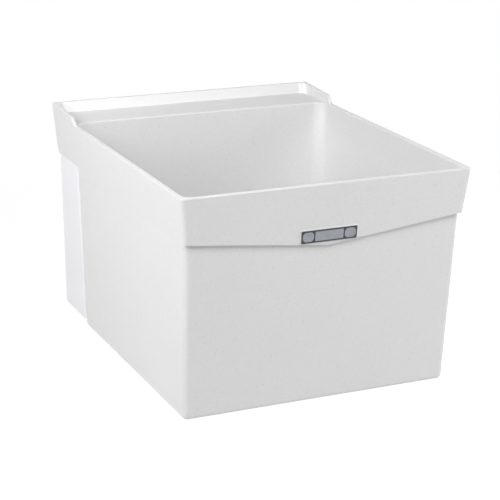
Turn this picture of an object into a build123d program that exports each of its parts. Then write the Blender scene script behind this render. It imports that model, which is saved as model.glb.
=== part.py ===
from build123d import *
from math import asin, cos, radians, sin, tan
import os

# Wall-hung utility laundry sink: a one-piece moulded tub on two folded steel brackets, with its drain.
# Millimetres. The origin is the centre of the four wall bolts, on the wall's surface.
# +X is to the user's right, +Y points into the wall, +Z is up.

os.makedirs("parts", exist_ok=True)

# ---- Tub: overall sizes ----
rim_width = 504.0  # across the rim, side to side
tub_depth = 610.0  # front rim to wall
rim_height = 372.0  # rim above the tub's underside
splash_rise = 18.0  # splash above the rim
upper_bolts_below_rim = 55.0
lower_bolts_above_underside = 63.0  # the two rows are 254 (10 in) apart

# ---- Tub: apron, the flared band round the front and sides ----
apron_depth = 75.0  # rim to lower edge at the front corners
apron_point_drop = 27.0  # how much lower the front edge is at its middle point
apron_side_drop = 20.0  # how much lower the side edge is near the basin's rear
apron_side_low = 125.0  # lowest point of the side edge, from the wall
apron_side_end = 110.0  # where the side edge is back at the wing's level, from the wall
apron_front_flare = 5.0  # degrees
apron_side_flare = 6.2
apron_front_step = 6.8  # apron stands proud of the basin wall by this much
apron_side_step = 3.3
apron_corner_radius = 8.0

# ---- Tub: basin ----
wall = 4.5
front_draft = 3.1  # degrees
side_draft = 1.2
rear_draft = 2.9
rear_gap = 95.3  # basin's rear wall to the wall of the room, at the apron's lower edge
basin_corner_radius = 10.0  # outside
basin_foot_radius = 8.0  # outside, round the underside
rim_land = 9.5  # rim's whole width
rim_front_land = 10.0
rim_outer_radius = 1.5
rim_inner_radius = 2.5
bowl_front_radius = 14.0  # inside corners at the rim
bowl_front_foot_radius = 30.0  # inside corners at the floor
bowl_rear_radius = 22.0
bowl_rear_foot_radius = 28.0
bowl_foot_radius = 20.0  # between walls and floor
floor_thickness = 6.0  # at the drain sump
floor_fall = 4.0  # from the walls to the sump

# ---- Tub: ledge, wings and splash ----
deck_thickness = 5.0
step_start = 123.0  # start of the wing's S-shaped step, from the wall
step_length = 25.0
step_rise = 14.0
step_handle = 11.25  # length of the curve's handles
splash_top_thickness = 4.0
splash_foot_thickness = 13.0
wing_top_thickness = 6.0
wing_foot_thickness = 6.0
pocket_corner_radius = 14.0
wing_wall = 3.0  # wing below the ledge, at its lower edge
wing_root_wall = 4.5  # wing just under the ledge
wing_corner_radius = 12.0
back_skirt_depth = 12.0
back_skirt_thickness = 4.5
crest_radius = 2.0  # inner edges of splash and wings

# ---- Faucet drilling spots on the ledge ----
faucet_spacing = 101.6
faucet_spot_radius = 14.3
faucet_spot_depth = 0.8
faucet_from_wall = 57.0

# ---- Badge ----
badge_width = 97.0
badge_height = 20.5
badge_thickness = 0.8
badge_corner_radius = 1.0
badge_below_rim = 84.5  # rim to the plate's centre
pad_width = 102.0
pad_height = 24.0
pad_proud = 1.2
pad_corner_radius = 2.0
pad_edge_taper = 30.0  # degrees

# ---- Wall brackets ----
sheet = 2.0
bend_radius = 2.0  # inside
bracket_foot = 11.0  # above the tub's underside
wall_flange = 56.0
basin_flange = 44.0
flange_corner_radius = 8.0
tab_width = 46.0
tab_relief = 4.0  # notch between the top tab and the flanges
tab_relief_depth = 6.0
tab_below_rim = 19.0
tab_corner_radius = 5.0
wall_bolt_inset = 48.8  # from the rim's side; the two columns are 406.4 (16 in) apart
wall_bolt_radius = 4.4

# ---- Ledge screws, washers and inserts ----
boss_radius = 9.0
boss_draft = 2.0  # degrees
ledge_screw_inset = 27.0  # from the bracket's side face
ledge_screw_rows = (30.0, 70.0)  # from the wall
screw_radius = 3.15
screw_clearance = 0.35
screw_reach = 9.0  # above the tab
screw_tip_chamfer = 0.8
screw_head_across_flats = 11.1
screw_head_height = 4.4
screw_head_chamfer = 0.6
washer_radius = 8.0
washer_thickness = 1.6
insert_radius = 4.6
insert_length = 12.0
insert_groove = 0.5
insert_clearance = 0.1

# ---- Drain ----
drain_from_front = 264.0
sump_radius = 36.0
sump_depth = 2.0
drain_hole_radius = 23.0
shank_radius = 22.25
shank_clearance = 0.25
shank_length = 37.0  # under the flange
shank_bore_radius = 19.6
grid_seat_radius = 17.4
grid_seat_depth = 15.0  # under the flange's top
grid_seat_thickness = 2.5
flange_radius = 32.0
flange_thickness = 2.2
flange_edge_radius = 1.4
flange_mouth_radius = 21.6
flange_mouth_depth = 10.0
cross_bar_width = 6.0
cross_bar_hub_radius = 4.5
gasket_thickness = 1.5
grid_radius = 19.3
grid_thickness = 1.5
grid_hole_radius = 1.9
grid_hole_spacing = 5.6
grid_hole_rings = 3
grid_screw_radius = 2.0
grid_screw_clearance = 0.2
grid_screw_head_radius = 3.6
grid_screw_head_height = 1.8
grid_screw_length = 5.5
shank_washer_radius = 33.0
shank_washer_thickness = 4.0
friction_ring_radius = 32.0
friction_ring_thickness = 0.8
locknut_radius = 31.0
locknut_height = 8.0
locknut_notch_count = 6
locknut_notch_width = 9.0
locknut_notch_depth = 4.0
tube_radius = 19.05  # 1-1/2 in drain tube
tube_wall = 1.2
tube_clearance = 0.3
tube_flange_radius = 22.0
tube_flange_thickness = 1.5
tube_washer_thickness = 2.5
tube_length = 56.0  # under its flange
tube_collar_radius = 19.5
tube_collar_length = 4.5  # under the flange
coupling_radius = 28.5
coupling_height = 17.0
coupling_lip = 3.0
coupling_edge_radius = 1.2
coupling_rib_count = 8
coupling_rib_width = 6.0
coupling_rib_height = 1.6

# ---- Stopper ----
stopper_clearance = 0.3
stopper_rim_radius = 27.0
stopper_rim_thickness = 4.0
stopper_rim_edge_radius = 1.5
stopper_crown_radius = 9.0
stopper_crown_height = 2.5
stopper_plug_depth = 9.0
eye_width = 7.0
eye_thickness = 4.0
eye_hole_radius = 2.2
eye_hole_height = 4.5  # above the stopper's crown
eye_stem_radius = 2.0
eye_stem_depth = 7.0
ring_radius = 11.0
ring_wire_radius = 1.2

# ---- Places worked out from the sizes above ----
wall_bolt_spacing_x = rim_width - 2 * wall_bolt_inset
wall_bolt_spacing_z = rim_height - upper_bolts_below_rim - lower_bolts_above_underside
bottom_z = -lower_bolts_above_underside - wall_bolt_spacing_z / 2
rim_z = bottom_z + rim_height
splash_z = rim_z + splash_rise
apron_z = rim_z - apron_depth
point_z = apron_z - apron_point_drop
deck_underside = rim_z - deck_thickness
front_y = -tub_depth
rim_half = rim_width / 2
floor_top = bottom_z + floor_thickness + floor_fall
drain_y = front_y + drain_from_front
sump_z = bottom_z + floor_thickness - sump_depth
tab_z = rim_z - tab_below_rim
bracket_z = bottom_z + bracket_foot
reach = tub_depth + rim_width  # long enough for any cut
touching = 0.1  # how near an edge must be to count as lying on a surface


def apron_half(z):
    return rim_half + (z - rim_z) * tan(radians(apron_side_flare))


def apron_front(z):
    return front_y - (z - rim_z) * tan(radians(apron_front_flare))


def basin_half(z):
    return apron_half(apron_z) - apron_side_step + (z - apron_z) * tan(radians(side_draft))


def basin_front(z):
    return apron_front(apron_z) + apron_front_step - (z - apron_z) * tan(radians(front_draft))


def basin_rear(z):
    return -rear_gap + (z - apron_z) * tan(radians(rear_draft))


def wing_inside(z):
    """Half width between the wings' inner faces below the ledge."""
    root = apron_half(deck_underside) - wing_root_wall
    foot = apron_half(apron_z) - wing_wall
    return foot + (root - foot) * (z - apron_z) / (deck_underside - apron_z)


def opening_out(at_apron, at_rim, z):
    """Straight line from the apron's lower edge to the rim."""
    return at_apron + (at_rim - at_apron) * (z - apron_z) / apron_depth


def bowl_half(z):
    """Half the bowl's width: the wall is even below the apron, and opens out to the rim above."""
    if z < apron_z:
        return basin_half(z) - wall
    return opening_out(basin_half(apron_z) - wall, rim_half - rim_land, z)


def bowl_front(z):
    if z < apron_z:
        return basin_front(z) + wall
    return opening_out(basin_front(apron_z) + wall, front_y + rim_front_land, z)


def bowl_rear(z):
    return basin_rear(z) - wall


def corner_radius(foot_radius, rim_radius, z):
    """Radius of a bowl corner, which changes evenly from the floor to the rim."""
    return foot_radius + (rim_radius - foot_radius) * (z - floor_top) / (rim_z - floor_top)


def outline(sketch, half_width, front, rear, front_radius, rear_radius):
    """Rectangle with its own corner radii at the front and the rear."""
    with Locations((0, (front + rear) / 2)):
        Rectangle(2 * half_width, rear - front)
    if front_radius:
        fillet(sketch.vertices().group_by(Axis.Y)[0], front_radius)
    if rear_radius:
        fillet(sketch.vertices().group_by(Axis.Y)[-1], rear_radius)


def bowl_outline(sketch, z):
    """The bowl's inside at a height; its corners open out towards the floor."""
    front_radius = corner_radius(bowl_front_foot_radius, bowl_front_radius, z)
    rear_radius = corner_radius(bowl_rear_foot_radius, bowl_rear_radius, z)
    outline(sketch, bowl_half(z), bowl_front(z), bowl_rear(z), front_radius, rear_radius)


def rim_loop(part):
    """Edges where the bowl's walls meet the rim."""
    level = part.faces().filter_by(Plane.XY).filter_by_position(Axis.Z, rim_z - touching, rim_z + touching)
    return level.sort_by(SortBy.AREA)[-1].inner_wires().sort_by(SortBy.LENGTH)[-1].edges()


def outer_crest(edge):
    """Whether an edge runs round the outside of the rim, wings and splash."""
    place = edge.center()
    on_side = abs(place.X) > apron_half(place.Z) - rim_outer_radius / 2
    on_front = place.Y < front_y + apron_corner_radius
    return place.Z > rim_z - rim_outer_radius / 2 and (on_side or on_front)


def inner_crest(edge):
    """Whether an edge runs along the inside of the wings' and the splash's tops."""
    place = edge.center()
    inside = abs(place.X) < apron_half(splash_z) - wing_top_thickness / 2
    return place.Z > rim_z + step_rise / 2 and place.Y < -splash_top_thickness / 2 and inside


def wing_heel(edge):
    """Whether an edge is a wing's lower corner at the wall."""
    place = edge.center()
    return abs(place.Y) < touching and abs(place.Z - apron_z) < touching and edge.length < wing_root_wall


# The apron's front face, where the badge and its pad lie.
badge_z = rim_z - badge_below_rim
front_normal = (0, -cos(radians(apron_front_flare)), -sin(radians(apron_front_flare)))
badge_face = Plane(origin=(0, apron_front(badge_z), badge_z), x_dir=(1, 0, 0), z_dir=front_normal)

# Centres of the ledge screws, both sides.
ledge_screw_x = basin_half(tab_z) - ledge_screw_inset
ledge_screws_at = [(side * ledge_screw_x, -row) for side in (-1, 1) for row in ledge_screw_rows]

# ---- Cutters for the tub ----

# Below the shallow V of the apron's front edge and below its sloping side edges.
point_half = basin_half(apron_z) - apron_side_step

with BuildPart() as under_apron:
    with BuildSketch(Plane.XZ):
        with BuildLine():
            Polyline(
                (-reach, bottom_z),
                (reach, bottom_z),
                (reach, rim_z),
                (point_half, rim_z),
                (point_half, apron_z),
                (0, point_z),
                (-point_half, apron_z),
                (-point_half, rim_z),
                (-reach, rim_z),
                close=True,
            )
        make_face()
    extrude(amount=reach, both=True)
    with BuildSketch(Plane.YZ):
        with BuildLine():
            Polyline(
                (front_y - rim_land, bottom_z),
                (rim_land, bottom_z),
                (rim_land, apron_z),
                (-apron_side_end, apron_z),
                (-apron_side_low, apron_z - apron_side_drop),
                (apron_front(apron_z) + apron_corner_radius, apron_z),
                (front_y - rim_land, apron_z),
                close=True,
            )
        make_face()
    extrude(amount=reach, both=True, mode=Mode.INTERSECT)

# Above the rim: the wings rise behind an S-shaped step and climb gently to the splash.
step_end = step_start - step_length
crest_slope = (splash_rise - step_rise) / step_end

with BuildPart() as over_rim:
    with BuildSketch(Plane.YZ):
        with BuildLine():
            Line((front_y - reach, rim_z), (-step_start, rim_z))
            Bezier(
                (-step_start, rim_z),
                (step_handle - step_start, rim_z),
                (-step_end - step_handle, rim_z + step_rise - crest_slope * step_handle),
                (-step_end, rim_z + step_rise),
            )
            Polyline(
                (-step_end, rim_z + step_rise),
                (0, splash_z),
                (reach, splash_z),
                (reach, splash_z + reach),
                (front_y - reach, splash_z + reach),
                (front_y - reach, rim_z),
            )
        make_face()
    extrude(amount=reach, both=True)

# The ledge's pocket between the wings and the splash.
with BuildPart() as pocket:
    with BuildSketch(Plane.XY.offset(rim_z)) as section:
        outline(
            section,
            rim_half - wing_foot_thickness,
            -step_start - rim_land,
            -splash_foot_thickness,
            0,
            pocket_corner_radius,
        )
    with BuildSketch(Plane.XY.offset(splash_z)) as section:
        outline(
            section,
            apron_half(splash_z) - wing_top_thickness,
            -step_start - rim_land,
            -splash_top_thickness,
            0,
            pocket_corner_radius,
        )
    loft(ruled=True)

# The open space under the ledge, between the wings.
with BuildPart() as under_ledge:
    for z in (point_z, deck_underside):
        with BuildSketch(Plane.XY.offset(z)) as section:
            outline(section, wing_inside(z), basin_rear(z) - wall / 2, rim_land, 0, 0)
    loft(ruled=True)

# The bowl, down to the floor that falls to the drain.
with BuildPart() as bowl:
    for z in (floor_top, apron_z, splash_z):
        with BuildSketch(Plane.XY.offset(z)) as section:
            bowl_outline(section, z)
    loft(ruled=True)
    fillet(bowl.faces().sort_by(Axis.Z)[0].edges(), bowl_foot_radius)

with BuildPart() as floor_dish:
    with BuildSketch(Plane.XY.offset(floor_top)) as section:
        outline(
            section,
            bowl_half(floor_top) - bowl_foot_radius,
            bowl_front(floor_top) + bowl_foot_radius,
            bowl_rear(floor_top) - bowl_foot_radius,
            bowl_front_foot_radius,
            bowl_front_foot_radius,
        )
    with BuildSketch(Plane.XY.offset(floor_top - floor_fall)):
        with Locations((0, drain_y)):
            Circle(sump_radius)
    loft()

# ---- Basin: the tapered box under the rim ----
with BuildPart() as basin:
    with BuildSketch(Plane.XY.offset(bottom_z)) as section:
        outline(
            section,
            basin_half(bottom_z),
            basin_front(bottom_z),
            basin_rear(bottom_z),
            basin_corner_radius,
            basin_corner_radius,
        )
    with BuildSketch(Plane.XY.offset(rim_z - rim_outer_radius)) as section:
        outline(
            section,
            basin_half(rim_z - rim_outer_radius),
            basin_front(rim_z - rim_outer_radius),
            basin_rear(rim_z - rim_outer_radius),
            basin_corner_radius,
            basin_corner_radius,
        )
    loft(ruled=True)
    fillet(basin.faces().sort_by(Axis.Z)[0].edges(), basin_foot_radius)

# ---- Tub ----
with BuildPart() as tub:
    # The flared band that forms the apron, wings and splash, with the badge's pad.
    with BuildSketch(Plane.XY.offset(point_z)) as section:
        outline(section, apron_half(point_z), apron_front(point_z), 0, apron_corner_radius, 0)
    with BuildSketch(Plane.XY.offset(splash_z)) as section:
        outline(section, apron_half(splash_z), apron_front(splash_z), 0, apron_corner_radius, 0)
    loft(ruled=True)
    with BuildSketch(badge_face):
        RectangleRounded(pad_width, pad_height, pad_corner_radius)
    extrude(amount=pad_proud, taper=pad_edge_taper)
    add(under_apron.part, mode=Mode.SUBTRACT)
    add(over_rim.part, mode=Mode.SUBTRACT)
    add(pocket.part, mode=Mode.SUBTRACT)
    add(under_ledge.part, mode=Mode.SUBTRACT)

    # A short skirt stiffens the ledge along the wall.
    with BuildSketch(Plane.XY.offset(deck_underside)):
        with Locations((0, -back_skirt_thickness / 2)):
            Rectangle(2 * apron_half(deck_underside) - wing_wall, back_skirt_thickness)
    extrude(amount=-back_skirt_depth)
    add(basin.part)

    # Bosses under the ledge.
    with BuildSketch(Plane.XY.offset(tab_z)):
        with Locations(ledge_screws_at):
            Circle(boss_radius)
    extrude(amount=deck_underside + deck_thickness / 2 - tab_z, taper=-boss_draft)

    add(bowl.part, mode=Mode.SUBTRACT)
    add(floor_dish.part, mode=Mode.SUBTRACT)

    # Drain sump and hole, faucet spots, and the bores of the inserts.
    with BuildSketch(Plane.XY.offset(floor_top - floor_fall)):
        with Locations((0, drain_y)):
            Circle(sump_radius)
    extrude(amount=-sump_depth, mode=Mode.SUBTRACT)
    with BuildSketch(Plane.XY.offset(sump_z)):
        with Locations((0, drain_y)):
            Circle(drain_hole_radius)
    extrude(amount=-floor_thickness, mode=Mode.SUBTRACT)
    with BuildSketch(Plane.XY.offset(rim_z)):
        with Locations((0, -faucet_from_wall)):
            with GridLocations(faucet_spacing, 0, 2, 1):
                Circle(faucet_spot_radius)
    extrude(amount=-faucet_spot_depth, mode=Mode.SUBTRACT)
    with BuildSketch(Plane.XY.offset(tab_z)):
        with Locations(ledge_screws_at):
            Circle(insert_radius)
    extrude(amount=insert_length, mode=Mode.SUBTRACT)

    # Rounded edges.
    fillet(tub.edges().filter_by(wing_heel), wing_corner_radius)
    fillet(rim_loop(tub), rim_inner_radius)
    fillet(tub.edges().filter_by(outer_crest), rim_outer_radius)
    fillet(tub.edges().filter_by(inner_crest), crest_radius)

tub.part.label = "tub"
export_step(tub.part, "parts/tub.step")

# ---- Badge plate ----
with BuildPart() as badge_plate:
    with BuildSketch(badge_face.offset(pad_proud)):
        RectangleRounded(badge_width, badge_height, badge_corner_radius)
    extrude(amount=badge_thickness)

badge_plate.part.label = "badge_plate"
export_step(badge_plate.part, "parts/badge_plate.step")

# ---- Wall brackets: each one sheet, folded to a channel that is open towards the middle ----
outer_bend = bend_radius + sheet

# The outside and the inside of the right channel, both following the basin's sides.
with BuildPart() as channel_outside:
    for z in (bracket_z, tab_z):
        with BuildSketch(Plane.XY.offset(z)) as section:
            with Locations((basin_half(z) - wall_flange / 2, basin_rear(z) / 2)):
                Rectangle(wall_flange, -basin_rear(z))
            fillet(section.vertices().group_by(Axis.X)[-1], outer_bend)
    loft(ruled=True)

with BuildPart() as channel_inside:
    for z in (bracket_z - outer_bend, tab_z - sheet):
        with BuildSketch(Plane.XY.offset(z)) as section:
            with Locations((basin_half(z) - sheet - wall_flange / 2, basin_rear(z) / 2)):
                Rectangle(wall_flange, -basin_rear(z) - 2 * sheet)
            fillet(section.vertices().group_by(Axis.X)[-1], bend_radius)
    loft(ruled=True)

tab_front = basin_rear(tab_z) + outer_bend + tab_relief
tab_back = -outer_bend - tab_relief
tab_side = basin_half(tab_z)


def tab_bend_outside(edge):
    """Whether an edge is the tab's upper fold line."""
    place = edge.center()
    return place.Z > tab_z - touching and place.X > tab_side - touching and tab_front < place.Y < tab_back


def tab_bend_inside(edge):
    """Whether an edge is the tab's lower fold line."""
    place = edge.center()
    level = abs(place.Z - tab_z + sheet) < touching
    return level and abs(place.X - tab_side + sheet) < touching and tab_front < place.Y < tab_back


def flange_corner(edge):
    """Whether an edge is a free corner of one of the two flanges."""
    along_y = abs((edge % 0.5).Y) > 0.99
    return along_y and edge.length < 2 * sheet and edge.center().X < basin_half(0) - basin_flange + sheet


def tab_corner(edge):
    """Whether an edge is a free corner of the tab."""
    upright = abs((edge % 0.5).Z) > 0.99
    return upright and edge.length < 2 * sheet and edge.center().X < tab_side - tab_width + sheet


with BuildPart() as wall_bracket_right:
    add(channel_outside.part)
    add(channel_inside.part, mode=Mode.SUBTRACT)

    # The basin-side flange is the shorter one.
    with BuildSketch(Plane.XZ.offset(sheet + outer_bend)):
        with Locations((basin_half(0) - wall_flange, 0)):
            Rectangle(2 * (wall_flange - basin_flange), reach)
    extrude(amount=reach, mode=Mode.SUBTRACT)

    # The top is cut back to the tab, with a relief notch at each of its ends.
    with BuildSketch(Plane.XY.offset(tab_z)):
        with Locations((tab_side, (tab_front + tab_back) / 2)):
            Rectangle(3 * wall_flange, -2 * basin_rear(tab_z))
            Rectangle(2 * tab_width, tab_back - tab_front, mode=Mode.SUBTRACT)
    extrude(amount=-tab_relief_depth, mode=Mode.SUBTRACT)
    fillet(wall_bracket_right.edges().filter_by(tab_bend_outside), outer_bend)
    fillet(wall_bracket_right.edges().filter_by(tab_bend_inside), bend_radius)

    # Holes for the wall bolts and the ledge screws.
    with BuildSketch(Plane.XZ):
        with GridLocations(wall_bolt_spacing_x, wall_bolt_spacing_z, 2, 2):
            Circle(wall_bolt_radius)
    extrude(amount=2 * sheet, mode=Mode.SUBTRACT)
    with BuildSketch(Plane.XY.offset(tab_z)):
        with Locations(ledge_screws_at):
            Circle(screw_radius + screw_clearance)
    extrude(amount=-2 * sheet, mode=Mode.SUBTRACT)

    # Free corners of the flanges and the tab.
    fillet(wall_bracket_right.edges().filter_by(flange_corner), flange_corner_radius)
    fillet(wall_bracket_right.edges().filter_by(tab_corner), tab_corner_radius)

wall_bracket_right.part.label = "wall_bracket_right"
export_step(wall_bracket_right.part, "parts/wall_bracket_right.step")

with BuildPart() as wall_bracket_left:
    mirror(wall_bracket_right.part, about=Plane.YZ)

wall_bracket_left.part.label = "wall_bracket_left"
export_step(wall_bracket_left.part, "parts/wall_bracket_left.step")

# ---- Inserts, screws and washers that hold the tub down on the brackets ----
with BuildPart() as insert:
    with BuildSketch(Plane.XZ):
        with BuildLine():
            Polyline(
                (screw_radius + insert_clearance, 0),
                (insert_radius, 0),
                (insert_radius, insert_length / 3),
                (insert_radius - insert_groove, insert_length / 3 + insert_groove),
                (insert_radius - insert_groove, 2 * insert_length / 3 - insert_groove),
                (insert_radius, 2 * insert_length / 3),
                (insert_radius, insert_length),
                (screw_radius + insert_clearance, insert_length),
                close=True,
            )
        make_face()
    revolve(axis=Axis.Z)

with BuildPart() as ledge_inserts:
    with Locations([(x, y, tab_z) for x, y in ledge_screws_at]):
        add(insert.part)

ledge_inserts.part.label = "ledge_inserts"
export_step(ledge_inserts.part, "parts/ledge_inserts.step")

washer_top = tab_z - sheet

with BuildPart() as ledge_washers:
    with BuildSketch(Plane.XY.offset(washer_top)):
        with Locations(ledge_screws_at):
            Circle(washer_radius)
            Circle(screw_radius + screw_clearance, mode=Mode.SUBTRACT)
    extrude(amount=-washer_thickness)

ledge_washers.part.label = "ledge_washers"
export_step(ledge_washers.part, "parts/ledge_washers.step")

head_top = washer_top - washer_thickness

with BuildPart() as ledge_screws:
    with BuildSketch(Plane.XY.offset(head_top)):
        with Locations(ledge_screws_at):
            RegularPolygon(screw_head_across_flats / 2, 6, major_radius=False)
    extrude(amount=-screw_head_height)
    chamfer(ledge_screws.faces().group_by(Axis.Z)[0].edges(), screw_head_chamfer)
    with BuildSketch(Plane.XY.offset(head_top)):
        with Locations(ledge_screws_at):
            Circle(screw_radius)
    extrude(amount=tab_z + screw_reach - head_top)
    chamfer(ledge_screws.faces().group_by(Axis.Z)[-1].edges(), screw_tip_chamfer)

ledge_screws.part.label = "ledge_screws"
export_step(ledge_screws.part, "parts/ledge_screws.step")

# ---- Drain, on its own axis, from the sump downwards ----
drain_axis = Plane(origin=(0, drain_y, 0), x_dir=(1, 0, 0), z_dir=(0, -1, 0))
gasket_top = sump_z + gasket_thickness
flange_top = gasket_top + flange_thickness
shank_end = gasket_top - shank_length
grid_seat_z = flange_top - grid_seat_depth

with BuildPart() as flange_gasket:
    with BuildSketch(Plane.XY.offset(sump_z)):
        with Locations((0, drain_y)):
            Circle(flange_radius - gasket_thickness / 2)
            Circle(drain_hole_radius, mode=Mode.SUBTRACT)
    extrude(amount=gasket_thickness)

flange_gasket.part.label = "flange_gasket"
export_step(flange_gasket.part, "parts/flange_gasket.step")

with BuildPart() as strainer_body:
    with BuildSketch(drain_axis):
        with BuildLine():
            flange_shoulder = (flange_radius - flange_edge_radius, flange_top - flange_edge_radius)
            CenterArc(flange_shoulder, flange_edge_radius, 0, 90)
            Polyline(
                (flange_radius - flange_edge_radius, flange_top),
                (flange_mouth_radius, flange_top),
                (shank_bore_radius, flange_top - flange_mouth_depth),
                (shank_bore_radius, grid_seat_z),
                (grid_seat_radius, grid_seat_z),
                (grid_seat_radius, grid_seat_z - grid_seat_thickness),
                (shank_bore_radius, grid_seat_z - grid_seat_thickness),
                (shank_bore_radius, shank_end),
                (shank_radius, shank_end),
                (shank_radius, gasket_top),
                (flange_radius, gasket_top),
                (flange_radius, flange_top - flange_edge_radius),
            )
        make_face()
    revolve(axis=Axis((0, drain_y, 0), (0, 0, 1)))
    with BuildSketch(Plane.XY.offset(grid_seat_z)):
        with Locations((0, drain_y)):
            Rectangle(grid_seat_radius + shank_bore_radius, cross_bar_width)
            Circle(cross_bar_hub_radius)
            Circle(grid_screw_radius + grid_screw_clearance, mode=Mode.SUBTRACT)
    extrude(amount=-grid_seat_thickness)

strainer_body.part.label = "strainer_body"
export_step(strainer_body.part, "parts/strainer_body.step")

with BuildPart() as strainer_grid:
    with BuildSketch(Plane.XY.offset(grid_seat_z)):
        with Locations((0, drain_y)):
            Circle(grid_radius)
            Circle(grid_screw_radius + grid_screw_clearance, mode=Mode.SUBTRACT)
            for ring in range(1, grid_hole_rings + 1):
                with PolarLocations(grid_hole_spacing * ring, 6 * ring):
                    Circle(grid_hole_radius, mode=Mode.SUBTRACT)
    extrude(amount=grid_thickness)

strainer_grid.part.label = "strainer_grid"
export_step(strainer_grid.part, "parts/strainer_grid.step")

grid_top = grid_seat_z + grid_thickness

with BuildPart() as grid_screw:
    with BuildSketch(Plane.XY.offset(grid_top)):
        with Locations((0, drain_y)):
            Circle(grid_screw_head_radius)
    extrude(amount=grid_screw_head_height)
    fillet(grid_screw.edges().group_by(Axis.Z)[-1], grid_screw_head_height / 2)
    with BuildSketch(Plane.XY.offset(grid_top)):
        with Locations((0, drain_y)):
            Circle(grid_screw_radius)
    extrude(amount=-grid_screw_length)

grid_screw.part.label = "grid_screw"
export_step(grid_screw.part, "parts/grid_screw.step")

washer_z = bottom_z - shank_washer_thickness

with BuildPart() as shank_washer:
    with BuildSketch(Plane.XY.offset(bottom_z)):
        with Locations((0, drain_y)):
            Circle(shank_washer_radius)
            Circle(shank_radius + shank_clearance, mode=Mode.SUBTRACT)
    extrude(amount=-shank_washer_thickness)

shank_washer.part.label = "shank_washer"
export_step(shank_washer.part, "parts/shank_washer.step")

with BuildPart() as friction_ring:
    with BuildSketch(Plane.XY.offset(washer_z)):
        with Locations((0, drain_y)):
            Circle(friction_ring_radius)
            Circle(shank_radius + shank_clearance, mode=Mode.SUBTRACT)
    extrude(amount=-friction_ring_thickness)

friction_ring.part.label = "friction_ring"
export_step(friction_ring.part, "parts/friction_ring.step")

locknut_top = washer_z - friction_ring_thickness

with BuildPart() as locknut:
    with BuildSketch(Plane.XY.offset(locknut_top)):
        with Locations((0, drain_y)):
            Circle(locknut_radius)
            with PolarLocations(locknut_radius, locknut_notch_count):
                Rectangle(2 * locknut_notch_depth, locknut_notch_width, mode=Mode.SUBTRACT)
            Circle(shank_radius + shank_clearance, mode=Mode.SUBTRACT)
    extrude(amount=-locknut_height)

locknut.part.label = "locknut"
export_step(locknut.part, "parts/locknut.step")

# The tube's flange is squeezed between its washer and the coupling nut's lip.
tube_top = shank_end - tube_washer_thickness
lip_top = tube_top - tube_flange_thickness
coupling_z = lip_top - coupling_lip

with BuildPart() as tailpiece_washer:
    with BuildSketch(Plane.XY.offset(shank_end)):
        with Locations((0, drain_y)):
            Circle(tube_flange_radius)
            Circle(tube_radius - tube_wall, mode=Mode.SUBTRACT)
    extrude(amount=-tube_washer_thickness)

tailpiece_washer.part.label = "tailpiece_washer"
export_step(tailpiece_washer.part, "parts/tailpiece_washer.step")

with BuildPart() as tailpiece:
    with BuildSketch(Plane.XY.offset(tube_top)):
        with Locations((0, drain_y)):
            Circle(tube_flange_radius)
            Circle(tube_radius - tube_wall, mode=Mode.SUBTRACT)
    extrude(amount=-tube_flange_thickness)
    with BuildSketch(Plane.XY.offset(lip_top)):
        with Locations((0, drain_y)):
            Circle(tube_collar_radius)
            Circle(tube_radius - tube_wall, mode=Mode.SUBTRACT)
    extrude(amount=-tube_collar_length)
    with BuildSketch(Plane.XY.offset(lip_top)):
        with Locations((0, drain_y)):
            Circle(tube_radius)
            Circle(tube_radius - tube_wall, mode=Mode.SUBTRACT)
    extrude(amount=-tube_length)

tailpiece.part.label = "tailpiece"
export_step(tailpiece.part, "parts/tailpiece.step")

with BuildPart() as coupling_nut:
    with BuildSketch(Plane.XY.offset(coupling_z)):
        with Locations((0, drain_y)):
            Circle(coupling_radius)
    extrude(amount=coupling_height)
    fillet(coupling_nut.edges(), coupling_edge_radius)
    with BuildSketch(Plane.XY.offset(coupling_z + 2 * coupling_edge_radius)):
        with Locations((0, drain_y)):
            with PolarLocations(coupling_radius, coupling_rib_count):
                Rectangle(2 * coupling_rib_height, coupling_rib_width)
    extrude(amount=coupling_height - 4 * coupling_edge_radius)
    with BuildSketch(Plane.XY.offset(lip_top)):
        with Locations((0, drain_y)):
            Circle(shank_radius + shank_clearance)
    extrude(amount=coupling_height, mode=Mode.SUBTRACT)
    with BuildSketch(Plane.XY.offset(lip_top)):
        with Locations((0, drain_y)):
            Circle(tube_collar_radius + tube_clearance)
    extrude(amount=-coupling_height, mode=Mode.SUBTRACT)

coupling_nut.part.label = "coupling_nut"
export_step(coupling_nut.part, "parts/coupling_nut.step")

# ---- Stopper, with its eye and pull ring ----
stopper_z = flange_top + stopper_clearance
stopper_top = stopper_z + stopper_rim_thickness
crown_top = stopper_top + stopper_crown_height
plug_end = flange_top - stopper_plug_depth
mouth_slope = (flange_mouth_radius - shank_bore_radius) / flange_mouth_depth
plug_top_radius = flange_mouth_radius - 2 * stopper_clearance
plug_end_radius = plug_top_radius - mouth_slope * stopper_plug_depth
hole_z = crown_top + eye_hole_height

with BuildPart() as stopper:
    with BuildSketch(drain_axis):
        with BuildLine():
            rim_shoulder = (stopper_rim_radius - stopper_rim_edge_radius, stopper_top - stopper_rim_edge_radius)
            CenterArc(rim_shoulder, stopper_rim_edge_radius, 0, 90)
            Polyline(
                (stopper_rim_radius - stopper_rim_edge_radius, stopper_top),
                (stopper_crown_radius, stopper_top),
                (stopper_crown_radius, crown_top),
                (0, crown_top),
                (0, plug_end),
                (plug_end_radius, plug_end),
                (plug_top_radius, stopper_z),
                (stopper_rim_radius, stopper_z),
                (stopper_rim_radius, stopper_top - stopper_rim_edge_radius),
            )
        make_face()
    revolve(axis=Axis((0, drain_y, 0), (0, 0, 1)))
    with BuildSketch(Plane.XY.offset(crown_top)):
        with Locations((0, drain_y)):
            Circle(eye_stem_radius)
    extrude(amount=-eye_stem_depth, mode=Mode.SUBTRACT)

stopper.part.label = "stopper"
export_step(stopper.part, "parts/stopper.step")

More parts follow.
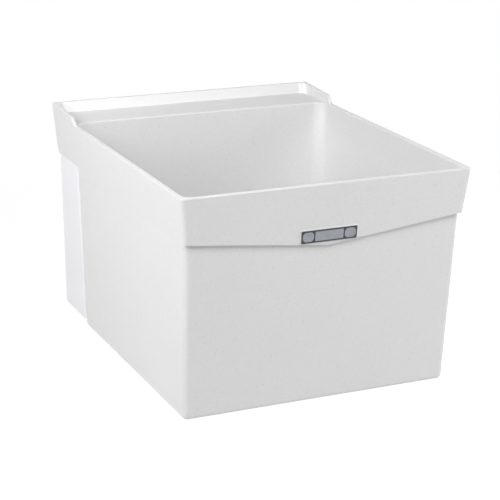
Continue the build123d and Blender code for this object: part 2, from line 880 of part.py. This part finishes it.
# The eye's hole runs along X, so the ring lies towards the front.
eye_face = Plane(origin=(0, drain_y, 0), x_dir=(0, 1, 0), z_dir=(1, 0, 0))

with BuildPart() as stopper_eye:
    with BuildSketch(eye_face):
        with Locations((0, hole_z)):
            Circle(eye_width / 2)
        with Locations((0, (crown_top + hole_z) / 2)):
            Rectangle(eye_width, eye_hole_height)
        with Locations((0, hole_z)):
            Circle(eye_hole_radius, mode=Mode.SUBTRACT)
    extrude(amount=eye_thickness / 2, both=True)
    with BuildSketch(Plane.XY.offset(crown_top)):
        with Locations((0, drain_y)):
            Circle(eye_stem_radius)
    extrude(amount=-eye_stem_depth)

stopper_eye.part.label = "stopper_eye"
export_step(stopper_eye.part, "parts/stopper_eye.step")

# The ring lies on the stopper, tilted down from the eye.
ring_drop = hole_z - stopper_top - ring_wire_radius - stopper_clearance
ring_tilt = asin(ring_drop / (2 * ring_radius))
ring_centre = (0, drain_y - ring_radius * cos(ring_tilt), hole_z - ring_radius * sin(ring_tilt))
ring_normal = (0, -sin(ring_tilt), cos(ring_tilt))

with BuildPart() as stopper_ring:
    with BuildSketch(Plane(origin=ring_centre, x_dir=ring_normal, z_dir=(1, 0, 0))):
        with Locations((0, ring_radius)):
            Circle(ring_wire_radius)
    revolve(axis=Axis(ring_centre, ring_normal))

stopper_ring.part.label = "stopper_ring"
export_step(stopper_ring.part, "parts/stopper_ring.step")
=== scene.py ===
# Utility laundry sink: finishes, small pieces, stage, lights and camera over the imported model
import math

import bmesh
import bpy
from mathutils import Matrix, Vector


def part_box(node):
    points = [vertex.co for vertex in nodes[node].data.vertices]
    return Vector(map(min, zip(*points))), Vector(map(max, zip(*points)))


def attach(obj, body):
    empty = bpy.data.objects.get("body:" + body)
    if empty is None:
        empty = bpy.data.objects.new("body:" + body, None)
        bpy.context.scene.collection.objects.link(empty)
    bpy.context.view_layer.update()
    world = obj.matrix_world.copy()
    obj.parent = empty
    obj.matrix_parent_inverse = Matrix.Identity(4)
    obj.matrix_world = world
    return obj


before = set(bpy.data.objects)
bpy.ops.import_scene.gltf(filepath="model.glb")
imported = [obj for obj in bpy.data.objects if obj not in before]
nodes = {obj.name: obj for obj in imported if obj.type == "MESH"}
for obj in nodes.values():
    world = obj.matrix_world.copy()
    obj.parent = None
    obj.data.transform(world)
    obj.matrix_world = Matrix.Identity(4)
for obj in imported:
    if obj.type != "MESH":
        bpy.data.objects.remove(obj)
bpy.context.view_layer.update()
print("frame loaded,", len(nodes), "nodes")


# helpers for materials: every pattern reads Object coordinates, in metres, and most of a noise's
# values lie between 0.3 and 0.7, which is why the ranges below start and end there

def startMaterial(name, look):
    mat = bpy.data.materials.new(name)
    mat.use_nodes = True
    tree = mat.node_tree
    shader = tree.nodes["Principled BSDF"]
    shader.inputs["Base Color"].default_value = (*look["colour"], 1)
    shader.inputs["Roughness"].default_value = look["roughness"]
    shader.inputs["Metallic"].default_value = look.get("metallic", 0)
    shader.inputs["Specular IOR Level"].default_value = look.get("specular", 0.5)
    place = tree.nodes.new("ShaderNodeTexCoord")
    return mat, tree, shader, place.outputs["Object"]


def moved(tree, coords, location):
    node = tree.nodes.new("ShaderNodeMapping")
    node.inputs["Location"].default_value = location
    tree.links.new(coords, node.inputs["Vector"])
    return node.outputs["Vector"]


def noise(tree, coords, scale, detail=2.0, roughness=0.5):
    node = tree.nodes.new("ShaderNodeTexNoise")
    node.inputs["Scale"].default_value = scale
    node.inputs["Detail"].default_value = detail
    node.inputs["Roughness"].default_value = roughness
    tree.links.new(coords, node.inputs["Vector"])
    return node.outputs["Fac"]


def ranged(tree, value, low, high, toLow=0.0, toHigh=1.0):
    node = tree.nodes.new("ShaderNodeMapRange")
    node.inputs["From Min"].default_value = low
    node.inputs["From Max"].default_value = high
    node.inputs["To Min"].default_value = toLow
    node.inputs["To Max"].default_value = toHigh
    tree.links.new(value, node.inputs["Value"])
    return node.outputs["Result"]


def combined(tree, first, second, operation="MULTIPLY"):
    node = tree.nodes.new("ShaderNodeMath")
    node.operation = operation
    for socket, value in zip(node.inputs, (first, second)):
        if isinstance(value, (int, float)):
            socket.default_value = value
        else:
            tree.links.new(value, socket)
    return node.outputs["Value"]


def mixed(tree, factor, first, second):
    node = tree.nodes.new("ShaderNodeMix")
    node.data_type = "RGBA"
    factorIn = next(s for s in node.inputs if s.name == "Factor" and s.type == "VALUE")
    colourIns = [s for s in node.inputs if s.type == "RGBA"]
    tree.links.new(factor, factorIn)
    for socket, value in zip(colourIns, (first, second)):
        if isinstance(value, tuple):
            socket.default_value = (*value, 1)
        else:
            tree.links.new(value, socket)
    return next(s for s in node.outputs if s.type == "RGBA")


def bump(tree, shader, height, strength, distance):
    node = tree.nodes.new("ShaderNodeBump")
    node.inputs["Strength"].default_value = strength
    node.inputs["Distance"].default_value = distance
    tree.links.new(height, node.inputs["Height"])
    tree.links.new(node.outputs["Normal"], shader.inputs["Normal"])


def shaded(colour, share):
    return tuple(part * share for part in colour)


def dress(nodeName, mat):
    obj = nodes[nodeName]
    obj.data.materials.clear()
    obj.data.materials.append(mat)


# moulded composite: near white, with scattered grey flecks and a soft sheen
resinLook = {
    "colour": (0.80, 0.80, 0.80),
    "shade": (0.775, 0.775, 0.773),     # the faint cloudiness of the moulding
    "cloudScale": 7,
    "cloudShare": 0.35,
    "mottleScale": 170,
    "mottleShare": 0.65,
    "roughness": 0.36,
    "smoother": 0.04,
    "rougher": 0.05,
    "sheenScale": 60,
    "specular": 0.4,
    "fleckColour": (0.56, 0.56, 0.555),
    "fleckSpacing": 0.0076,             # metres between the larger flecks
    "fleckRadius": 0.00062,
    "dustColour": (0.60, 0.60, 0.60),
    "dustSpacing": 0.0034,
    "dustRadius": 0.0003,
    "ripple": 0.6,                      # noise cells in one radius, for ragged outlines
    "narrow": 0.6,
    "wide": 1.4,
    "softEdge": 0.2,                    # share of the radius
    "grainScale": 900,
    "grainStrength": 0.12,
    "grainDepth": 0.0003,
}


def flecks(tree, coords, look, kind):
    spacing, radius = look[kind + "Spacing"], look[kind + "Radius"]
    cells = tree.nodes.new("ShaderNodeTexVoronoi")
    cells.inputs["Scale"].default_value = 1 / spacing
    tree.links.new(coords, cells.inputs["Vector"])
    ripples = noise(tree, coords, look["ripple"] / radius)
    reach = ranged(tree, ripples, 0.3, 0.7, look["narrow"], look["wide"])
    away = combined(tree, cells.outputs["Distance"], reach)
    size = radius / spacing
    return ranged(tree, away, size * (1 - look["softEdge"]), size * (1 + look["softEdge"]), 1, 0)


def makeResin(name, look):
    mat, tree, shader, coords = startMaterial(name, look)
    cloud = ranged(tree, noise(tree, coords, look["cloudScale"], 3), 0.35, 0.65)
    mottle = ranged(tree, noise(tree, coords, look["mottleScale"]), 0.3, 0.6)
    clouded = combined(tree, cloud, look["cloudShare"])
    mottled = combined(tree, mottle, look["mottleShare"])
    clean = mixed(tree, combined(tree, clouded, mottled, "ADD"), look["shade"], look["colour"])
    dusted = mixed(tree, flecks(tree, coords, look, "dust"), clean, look["dustColour"])
    colour = mixed(tree, flecks(tree, coords, look, "fleck"), dusted, look["fleckColour"])
    tree.links.new(colour, shader.inputs["Base Color"])
    smooth, rough = look["roughness"] - look["smoother"], look["roughness"] + look["rougher"]
    sheen = ranged(tree, noise(tree, coords, look["sheenScale"], 3), 0.3, 0.7, smooth, rough)
    tree.links.new(sheen, shader.inputs["Roughness"])
    grain = noise(tree, coords, look["grainScale"])
    bump(tree, shader, grain, look["grainStrength"], look["grainDepth"])
    return mat


# powder coat on the brackets
powderLook = {
    "colour": (0.94, 0.935, 0.965),
    "dustScale": 14,
    "dustShade": 0.98,
    "roughness": 0.42,
    "smooth": 0.38,         # the peel's hollows
    "rough": 0.5,           # and its crests
    "specular": 0.5,
    "peelScale": 620,
    "peelStrength": 0.18,
    "peelDepth": 0.0004,
}


def makePowder(name, look):
    mat, tree, shader, coords = startMaterial(name, look)
    peel = noise(tree, coords, look["peelScale"], 2, 0.45)
    dust = ranged(tree, noise(tree, coords, look["dustScale"], 4), 0.35, 0.7)
    colour = mixed(tree, dust, look["colour"], shaded(look["colour"], look["dustShade"]))
    tree.links.new(colour, shader.inputs["Base Color"])
    sheen = ranged(tree, peel, 0.3, 0.7, look["smooth"], look["rough"])
    tree.links.new(sheen, shader.inputs["Roughness"])
    bump(tree, shader, peel, look["peelStrength"], look["peelDepth"])
    return mat


# turned stainless steel: fine rings round the drain's axis
steelLook = {
    "colour": (0.62, 0.62, 0.63),
    "roughness": 0.28,
    "smoother": 0.07,
    "rougher": 0.1,
    "smudgeScale": 45,
    "metallic": 1.0,
    "ringScale": 260,
    "ringWobble": 1.5,
    "ringShade": 0.88,
    "ringStrength": 0.12,
    "ringDepth": 0.0001,
}


def makeTurned(name, look, centre):
    mat, tree, shader, coords = startMaterial(name, look)
    local = moved(tree, coords, (-centre[0], -centre[1], 0))
    rings = tree.nodes.new("ShaderNodeTexWave")
    rings.wave_type = "RINGS"
    rings.rings_direction = "Z"
    rings.inputs["Scale"].default_value = look["ringScale"]
    rings.inputs["Distortion"].default_value = look["ringWobble"]
    rings.inputs["Detail"].default_value = 3
    rings.inputs["Detail Scale"].default_value = 2
    tree.links.new(local, rings.inputs["Vector"])
    smudge = noise(tree, coords, look["smudgeScale"], 4, 0.6)
    smooth, rough = look["roughness"] - look["smoother"], look["roughness"] + look["rougher"]
    tree.links.new(ranged(tree, smudge, 0.3, 0.7, smooth, rough), shader.inputs["Roughness"])
    shade = shaded(look["colour"], look["ringShade"])
    colour = mixed(tree, rings.outputs["Fac"], look["colour"], shade)
    tree.links.new(colour, shader.inputs["Base Color"])
    bump(tree, shader, rings.outputs["Fac"], look["ringStrength"], look["ringDepth"])
    return mat


# zinc plate, die-cast zinc and brass share one cloudy metal, with their own values
cloudyMetal = {
    "metallic": 1.0,
    "smoother": 0.06,
    "rougher": 0.1,
    "grainFineness": 6,     # grain cells in one cloud
    "grainStrength": 0.1,
    "grainDepth": 0.0001,
}
zincLook = {
    **cloudyMetal,
    "colour": (0.60, 0.61, 0.63),
    "shadow": (0.44, 0.45, 0.47),
    "roughness": 0.36,
    "cloudScale": 180,
}
castLook = {
    **cloudyMetal,
    "colour": (0.50, 0.50, 0.50),
    "shadow": (0.36, 0.36, 0.37),
    "roughness": 0.48,
    "cloudScale": 320,
}
brassLook = {
    **cloudyMetal,
    "colour": (0.72, 0.53, 0.25),
    "shadow": (0.52, 0.36, 0.15),
    "roughness": 0.32,
    "cloudScale": 240,
}


def makeMetal(name, look):
    mat, tree, shader, coords = startMaterial(name, look)
    cloud = noise(tree, coords, look["cloudScale"], 5, 0.6)
    colour = mixed(tree, ranged(tree, cloud, 0.35, 0.65), look["shadow"], look["colour"])
    tree.links.new(colour, shader.inputs["Base Color"])
    rough, smooth = look["roughness"] + look["rougher"], look["roughness"] - look["smoother"]
    tree.links.new(ranged(tree, cloud, 0.3, 0.7, rough, smooth), shader.inputs["Roughness"])
    grain = noise(tree, coords, look["cloudScale"] * look["grainFineness"])
    bump(tree, shader, grain, look["grainStrength"], look["grainDepth"])
    return mat


# black moulded rubber, white tube plastic, pressed fibre and the badge share one grained finish
grained = {
    "patchScale": 70,
    "rougher": 0.12,        # the worn patches
    "grainStrength": 0.25,
}
rubberLook = {
    **grained,
    "colour": (0.022, 0.022, 0.023),
    "worn": (0.05, 0.05, 0.05),
    "roughness": 0.55,
    "specular": 0.45,
    "grainScale": 1100,
    "grainDepth": 0.00025,
}
tubeLook = {
    **grained,
    "colour": (0.80, 0.80, 0.77),
    "worn": (0.74, 0.74, 0.71),
    "roughness": 0.38,
    "specular": 0.5,
    "grainScale": 800,
    "grainDepth": 0.00012,
}
fibreLook = {
    **grained,
    "colour": (0.40, 0.27, 0.16),
    "worn": (0.30, 0.19, 0.10),
    "roughness": 0.8,
    "specular": 0.3,
    "grainScale": 1500,
    "grainDepth": 0.0004,
}


def makeGrained(name, look):
    mat, tree, shader, coords = startMaterial(name, look)
    patch = ranged(tree, noise(tree, coords, look["patchScale"], 4, 0.6), 0.4, 0.7)
    colour = mixed(tree, patch, look["colour"], look["worn"])
    tree.links.new(colour, shader.inputs["Base Color"])
    sheen = ranged(tree, patch, 0, 1, look["roughness"], look["roughness"] + look["rougher"])
    tree.links.new(sheen, shader.inputs["Roughness"])
    grain = noise(tree, coords, look["grainScale"], 3)
    bump(tree, shader, grain, look["grainStrength"], look["grainDepth"])
    return mat


drainCentre = (0.0, -0.346)     # x and y of the drain's axis
resin = makeResin("tubResin", resinLook)
powder = makePowder("bracketPowder", powderLook)
turnedSteel = makeTurned("turnedSteel", steelLook, drainCentre)
zinc = makeMetal("zincPlate", zincLook)
castZinc = makeMetal("castZinc", castLook)
brass = makeMetal("machinedBrass", brassLook)
rubber = makeGrained("blackRubber", rubberLook)
tubePlastic = makeGrained("tubePlastic", tubeLook)
fibre = makeGrained("pressedFibre", fibreLook)

for nodeName, mat in {
    "tub": resin,
    "wall_bracket_left": powder,
    "wall_bracket_right": powder,
    "ledge_inserts": brass,
    "ledge_screws": zinc,
    "ledge_washers": zinc,
    "strainer_body": turnedSteel,
    "strainer_grid": turnedSteel,
    "grid_screw": turnedSteel,
    "flange_gasket": rubber,
    "shank_washer": rubber,
    "friction_ring": fibre,
    "locknut": castZinc,
    "tailpiece_washer": tubePlastic,
    "coupling_nut": tubePlastic,
    "tailpiece": tubePlastic,
    "stopper": rubber,
    "stopper_eye": turnedSteel,
    "stopper_ring": turnedSteel,
}.items():
    dress(nodeName, mat)
print("materials assigned")


# the badge: a slate frame round three bare grey panels, with no lettering
badgeLook = {
    **grained,
    "colour": (0.035, 0.045, 0.06),
    "worn": (0.05, 0.06, 0.075),
    "roughness": 0.3,
    "specular": 0.5,
    "grainScale": 900,
    "grainDepth": 0.0001,
}
dress("badge_plate", makeGrained("badgeSlate", badgeLook))

badgePanels = {
    **grained,
    "colour": (0.36, 0.38, 0.41),
    "worn": (0.30, 0.32, 0.35),
    "roughness": 0.35,
    "specular": 0.5,
    "grainScale": 900,
    "grainDepth": 0.0001,
    "widths": (0.0192, 0.0492, 0.0192),
    "corners": (0.0062, 0.0014, 0.0062),
    "cornerSteps": 6,
    "bar": 0.0024,          # slate between the panels
    "border": 0.0024,       # slate above and below them
    "proud": 0.00012,
    "plate": 0.0008,        # the plate's thickness
    "lean": 5.0,            # degrees, the apron's flare
}


def objectFrom(bm, name, mat):
    mesh = bpy.data.meshes.new(name)
    bm.to_mesh(mesh)
    bm.free()
    mesh.materials.append(mat)
    obj = bpy.data.objects.new(name, mesh)
    bpy.context.scene.collection.objects.link(obj)
    return obj


def pieceFrom(bm, name, mat, body):
    bmesh.ops.recalc_face_normals(bm, faces=bm.faces)
    obj = objectFrom(bm, name, mat)
    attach(obj, body)
    return obj


# a matrix that turns the three axes to the given ones and moves the origin to a place
def axesAt(x, y, z, place):
    turn = Matrix((x, y, z)).transposed().to_4x4()
    turn.translation = place
    return turn


def makeBadgePanels(values, mat):
    low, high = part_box("badge_plate")
    lean = math.radians(values["lean"])
    # the plate's height is measured along its leaning face
    height = (high.z - low.z) / math.cos(lean) - 2 * values["border"]
    start = -(sum(values["widths"]) + values["bar"] * (len(values["widths"]) - 1)) / 2
    bm = bmesh.new()
    for width, corner in zip(values["widths"], values["corners"]):
        made = bmesh.ops.create_grid(bm, x_segments=1, y_segments=1, size=0.5)["verts"]
        bmesh.ops.scale(bm, vec=(width, height, 1), verts=made)
        bmesh.ops.translate(bm, vec=(start + width / 2, 0, 0), verts=made)
        bmesh.ops.bevel(
            bm, geom=made, offset=corner, affect="VERTICES", segments=values["cornerSteps"],
            profile=0.5, material=-1)
        start += width + values["bar"]
    raised = bmesh.ops.extrude_face_region(bm, geom=bm.faces[:])
    top = [v for v in raised["geom"] if isinstance(v, bmesh.types.BMVert)]
    bmesh.ops.translate(bm, vec=(0, 0, values["proud"]), verts=top)
    # stood up on the plate's leaning face
    normal = Vector((0, -math.cos(lean), -math.sin(lean)))
    up = Vector((0, -math.sin(lean), math.cos(lean)))
    front = (low + high) / 2 + normal * values["plate"] / 2
    turn = axesAt(Vector((1, 0, 0)), up, normal, front)
    bmesh.ops.transform(bm, matrix=turn, verts=bm.verts)
    panels = pieceFrom(bm, "badgePanels", mat, "sink")


makeBadgePanels(badgePanels, makeGrained("badgeGrey", badgePanels))
print("badge finished")


# the thread that shows on the drain's shank, between the locknut and the coupling nut
shankThread = {
    "core": 0.0221,         # a little inside the shank's surface
    "crest": 0.02285,
    "pitch": 0.0022,
    "ridge": 0.42,          # half of the ridge's foot, in pitches
    "flat": 0.2,            # share of the ridge that is flat on top
    "top": 0.0003,          # clear of the nut above it
    "turns": 2.9,
    "steps": 48,            # in one turn
}


def makeShankThread(values, mat):
    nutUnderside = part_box("locknut")[0].z
    start = nutUnderside - values["top"] - values["pitch"] * (values["turns"] + 0.5)
    bm = bmesh.new()
    half = values["pitch"] * values["ridge"]
    flat = half * values["flat"]
    core, crest = values["core"], values["crest"]
    profile = bm.faces.new([
        bm.verts.new((drainCentre[0] + x, drainCentre[1], start + z))
        for x, z in ((core, -half), (crest, -flat), (crest, flat), (core, half))])
    bmesh.ops.spin(
        bm, geom=[profile, *profile.edges, *profile.verts],
        cent=(*drainCentre, 0), axis=(0, 0, 1), dvec=(0, 0, values["pitch"] / values["steps"]),
        angle=math.tau * values["turns"], steps=round(values["turns"] * values["steps"]),
        use_merge=False, use_duplicate=False)
    for face in bm.faces:
        face.smooth = len(face.verts) == 4
    thread = pieceFrom(bm, "shankThread", mat, "sink")


makeShankThread(shankThread, turnedSteel)
print("shank thread cut")


# stage: a plain white floor, well below the sink, which hangs on a wall in use
stageLook = {
    "floorZ": -0.68,
    "size": 60.0,
    "middle": 10.0,                 # the floor's own middle lies behind the wall
    "sinkMiddle": -0.3,
    "colour": (0.80, 0.80, 0.80),   # what it lights the sink with
    "glow": 0.88,                   # what is seen near the sink, with the thin paint's shade
    "thin": (0.30, 0.30, 0.30),
    "nearby": 1.2,                  # metres, where the floor starts to fade to plain white
    "faraway": 3.2,
}


def shaderNode(tree, kind, **constants):
    node = tree.nodes.new("ShaderNode" + kind)
    for name, value in constants.items():
        node.inputs[name].default_value = value
    return node.outputs[0]


def joined(tree, kind, sockets, *shaders):
    node = tree.nodes.new("ShaderNode" + kind)
    for socket, shader in zip(sockets, shaders):
        tree.links.new(shader, node.inputs[socket])
    return node.outputs[0]


# the camera, reflections and clear pieces see one shader, and light between surfaces the other
def chooseSeen(tree, unseen, seen, output):
    rays = tree.nodes.new("ShaderNodeLightPath").outputs
    direct = combined(tree, rays["Is Camera Ray"], rays["Is Glossy Ray"], "MAXIMUM")
    direct = combined(tree, direct, rays["Is Transmission Ray"], "MAXIMUM")
    chosen = joined(tree, "MixShader", (0, 1, 2), direct, unseen, seen)
    tree.links.new(chosen, output.inputs["Surface"])


def makeStage(values):
    bm = bmesh.new()
    bmesh.ops.create_grid(bm, x_segments=1, y_segments=1, size=values["size"] / 2)
    bmesh.ops.translate(bm, vec=(0, values["middle"], values["floorZ"]), verts=bm.verts)
    mat = bpy.data.materials.new("floorPaint")
    mat.use_nodes = True
    tree = mat.node_tree
    tree.nodes.remove(tree.nodes["Principled BSDF"])
    paint = shaderNode(tree, "BsdfDiffuse", Color=(*values["colour"], 1))
    thin = shaderNode(tree, "BsdfDiffuse", Color=(*values["thin"], 1))
    glow = shaderNode(tree, "Emission", Strength=values["glow"])
    white = shaderNode(tree, "Emission")
    place = tree.nodes.new("ShaderNodeTexCoord")
    away = tree.nodes.new("ShaderNodeVectorMath")
    away.operation = "DISTANCE"
    away.inputs[1].default_value = (0, values["sinkMiddle"], values["floorZ"])
    tree.links.new(place.outputs["Object"], away.inputs[0])
    fade = ranged(tree, away.outputs["Value"], values["nearby"], values["faraway"])
    near = joined(tree, "AddShader", (0, 1), glow, thin)
    seen = joined(tree, "MixShader", (0, 1, 2), fade, near, white)
    chooseSeen(tree, paint, seen, tree.nodes["Material Output"])
    floor = objectFrom(bm, "floor", mat)


makeStage(stageLook)


# light: soft lamps in front, on the left and low on the right, and one behind for the far sides
worldLook = {
    "white": (1, 1, 1, 1),
    "room": 0.04,           # the light it gives; what is seen is plain white
}
lamps = {
    "frontLamp": {
        "azimuth": 0, "elevation": 48, "distance": 3.4,
        "size": 2.2, "watts": 72, "aim": -0.3},
    "leftLamp": {
        "azimuth": 96, "elevation": 30, "distance": 1.8,
        "size": 1.1, "watts": 24, "aim": -0.66},
    "rightLamp": {
        "azimuth": -58, "elevation": 9, "distance": 2.4,
        "size": 1.5, "watts": 16.5, "aim": -0.3},
    "backLamp": {
        "azimuth": -118, "elevation": 4, "distance": 3.4,
        "size": 2.4, "watts": 50, "aim": -0.3},
}


def makeWorld(values):
    world = bpy.data.worlds.new("brightRoom")
    bpy.context.scene.world = world
    world.use_nodes = True
    tree = world.node_tree
    tree.nodes.remove(tree.nodes["Background"])
    room = shaderNode(tree, "Background", Color=values["white"], Strength=values["room"])
    seen = shaderNode(tree, "Background", Color=values["white"], Strength=1)
    chooseSeen(tree, room, seen, tree.nodes["World Output"])


def makeLamp(name, values):
    data = bpy.data.lights.new(name, "AREA")
    data.shape = "DISK"
    data.size = values["size"]
    data.energy = values["watts"]
    lamp = bpy.data.objects.new(name, data)
    bpy.context.scene.collection.objects.link(lamp)
    # azimuth is counted from straight in front, towards the left; the aim is a point on the Y axis
    around, above = math.radians(values["azimuth"]), math.radians(values["elevation"])
    out = Vector((
        -math.sin(around) * math.cos(above), -math.cos(around) * math.cos(above), math.sin(above)))
    lamp.location = Vector((0, values["aim"], 0)) + out * values["distance"]
    lamp.rotation_euler = (-out).to_track_quat("-Z", "Y").to_euler()


makeWorld(worldLook)
for lampName, values in lamps.items():
    makeLamp(lampName, values)
print("stage and lights set")


# camera at the photograph's angle
cameraValues = {
    "place": (-1.15071, -2.81447, 0.87271),
    "azimuth": 24.66,
    "elevation": 17.87,
    "roll": 0.89,
    "focalPixels": 1670.07,     # in a picture of the width below
    "pictureWidth": 500,
    "sensor": 36,
    "farthest": 100,
}


def makeCamera(values):
    around, above, roll = (math.radians(values[k]) for k in ("azimuth", "elevation", "roll"))
    ahead = Vector((
        math.sin(around) * math.cos(above), math.cos(around) * math.cos(above), -math.sin(above)))
    right = Vector((math.cos(around), -math.sin(around), 0))
    up = right.cross(ahead)
    rolledRight = right * math.cos(roll) + up * math.sin(roll)
    rolledUp = up * math.cos(roll) - right * math.sin(roll)
    data = bpy.data.cameras.new("camera")
    data.sensor_width = values["sensor"]
    data.lens = values["focalPixels"] * values["sensor"] / values["pictureWidth"]
    data.clip_end = values["farthest"]
    camera = bpy.data.objects.new("camera", data)
    camera.matrix_world = axesAt(rolledRight, rolledUp, -ahead, values["place"])
    bpy.context.scene.collection.objects.link(camera)
    bpy.context.scene.camera = camera


makeCamera(cameraValues)
bpy.context.scene.view_settings.view_transform = "Standard"
